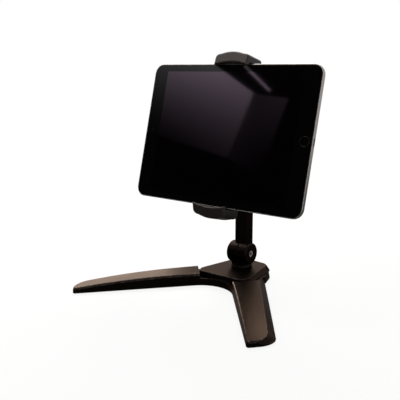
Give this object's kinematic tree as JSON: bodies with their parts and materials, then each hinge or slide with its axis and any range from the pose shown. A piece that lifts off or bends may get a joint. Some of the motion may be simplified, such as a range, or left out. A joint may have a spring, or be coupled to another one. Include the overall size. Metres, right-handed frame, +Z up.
{
  "type": "tablet teleprompter desk stand",
  "caption": "Desk prompter: V-shaped foot, slide-on swivel block, folding flat arm and tilting spring clamp with curved jaws gripping a landscape tablet.",
  "frame": {"origin": "on the swivel axis at table level, the middle of the hub's rubber foot", "axes": "+Z up; -Y the way the screen faces, so the legs run forward; +X to the viewer's right"},
  "size_m": [0.2814, 0.2114, 0.2866],
  "materials": {
    "dark_casting": "satin dark brown-black paint on cast aluminium",
    "clamp_plastic": "fine matt moulding",
    "rubber": "matt",
    "steel": "bright zinc",
    "nylon": "natural nylon",
    "tablet_shell": "fine blasted",
    "screen_glass": "polished black glass",
    "panel": "black",
    "cell": "foil",
    "board": "lacquered"
  },
  "bodies": {
    "foot": {"v_foot": "dark_casting", "hub_foot": "rubber", "right_near_foot": "rubber", "right_tip_foot": "rubber", "left_near_foot": "rubber", "left_tip_foot": "rubber"},
    "mount": {"mount_block": "dark_casting"},
    "turret": {"turret": "dark_casting", "swivel_friction_washer": "nylon", "swivel_retainer": "steel", "swivel_screw": "steel", "lower_knuckle_bolt": "steel", "lower_knuckle_nut": "steel", "lower_knuckle_friction_washer": "nylon"},
    "arm": {"arm": "dark_casting"},
    "head": {"tilt_head": "dark_casting", "upper_knuckle_bolt": "steel", "upper_knuckle_nut": "steel", "upper_knuckle_friction_washer": "nylon"},
    "holder": {"clamp_sleeve": "clamp_plastic", "turn_spindle": "steel", "turn_nut": "steel", "turn_friction_washer": "nylon", "lower_jaw": "clamp_plastic", "lower_jaw_pad": "rubber", "left_jaw_screw": "steel", "right_jaw_screw": "steel", "upper_back_pad": "rubber", "lower_back_pad": "rubber", "left_spring": "steel", "right_spring": "steel"},
    "upper_jaw": {"upper_jaw": "clamp_plastic", "upper_jaw_pad": "rubber"},
    "tablet": {"tablet_housing": "tablet_shell", "front_glass": "screen_glass", "display_panel": "panel", "left_cell": "cell", "right_cell": "cell", "logic_board": "board", "home_switch": "panel", "rear_camera": "screen_glass"},
    "home_button": {"home_button": "screen_glass"},
    "power_key": {"power_key": "tablet_shell"},
    "volume_up_key": {"volume_up_key": "tablet_shell"},
    "volume_down_key": {"volume_down_key": "tablet_shell"}
  },
  "joints": [
    {"name": "mount_slide", "type": "slide", "parent": "foot", "child": "mount", "axis": [0, 1, 0], "range_m": [0, 0.045]},
    {"name": "swivel", "type": "hinge", "parent": "mount", "child": "turret", "pos_m": [0, 0, 0.0175], "axis": [0, 0, 1], "continuous": true},
    {"name": "arm_tilt", "type": "hinge", "parent": "turret", "child": "arm", "pos_m": [0, 0, 0.0356], "axis": [1, 0, 0], "range_deg": [-60, 20]},
    {"name": "head_tilt", "type": "hinge", "parent": "arm", "child": "head", "pos_m": [0, 0, 0.1771], "axis": [1, 0, 0], "range_deg": [-60, 15]},
    {"name": "holder_turn", "type": "hinge", "parent": "head", "child": "holder", "pos_m": [0.0029, -0.04863, 0.18995], "axis": [0, -0.9668, 0.2554], "continuous": true},
    {"name": "jaw_slide", "type": "slide", "parent": "holder", "child": "upper_jaw", "axis": [0, 0.2554, 0.9668], "range_m": [0, 0.04], "stiffness_N_per_m": 300, "springref_m": -0.05},
    {"name": "tablet_slide", "type": "slide", "parent": "holder", "child": "tablet", "axis": [1, 0, 0], "range_m": [-0.05, 0.05]},
    {"name": "home_press", "type": "slide", "parent": "tablet", "child": "home_button", "axis": [0, 0.9668, -0.2554], "range_m": [0, 0.0004], "stiffness_N_per_m": 1000},
    {"name": "power_press", "type": "slide", "parent": "tablet", "child": "power_key", "axis": [1, 0, 0], "range_m": [0, 0.0003], "stiffness_N_per_m": 1000},
    {"name": "volume_up_press", "type": "slide", "parent": "tablet", "child": "volume_up_key", "axis": [0, -0.2554, -0.9668], "range_m": [0, 0.0003], "stiffness_N_per_m": 1000},
    {"name": "volume_down_press", "type": "slide", "parent": "tablet", "child": "volume_down_key", "axis": [0, -0.2554, -0.9668], "range_m": [0, 0.0003], "stiffness_N_per_m": 1000}
  ]
}
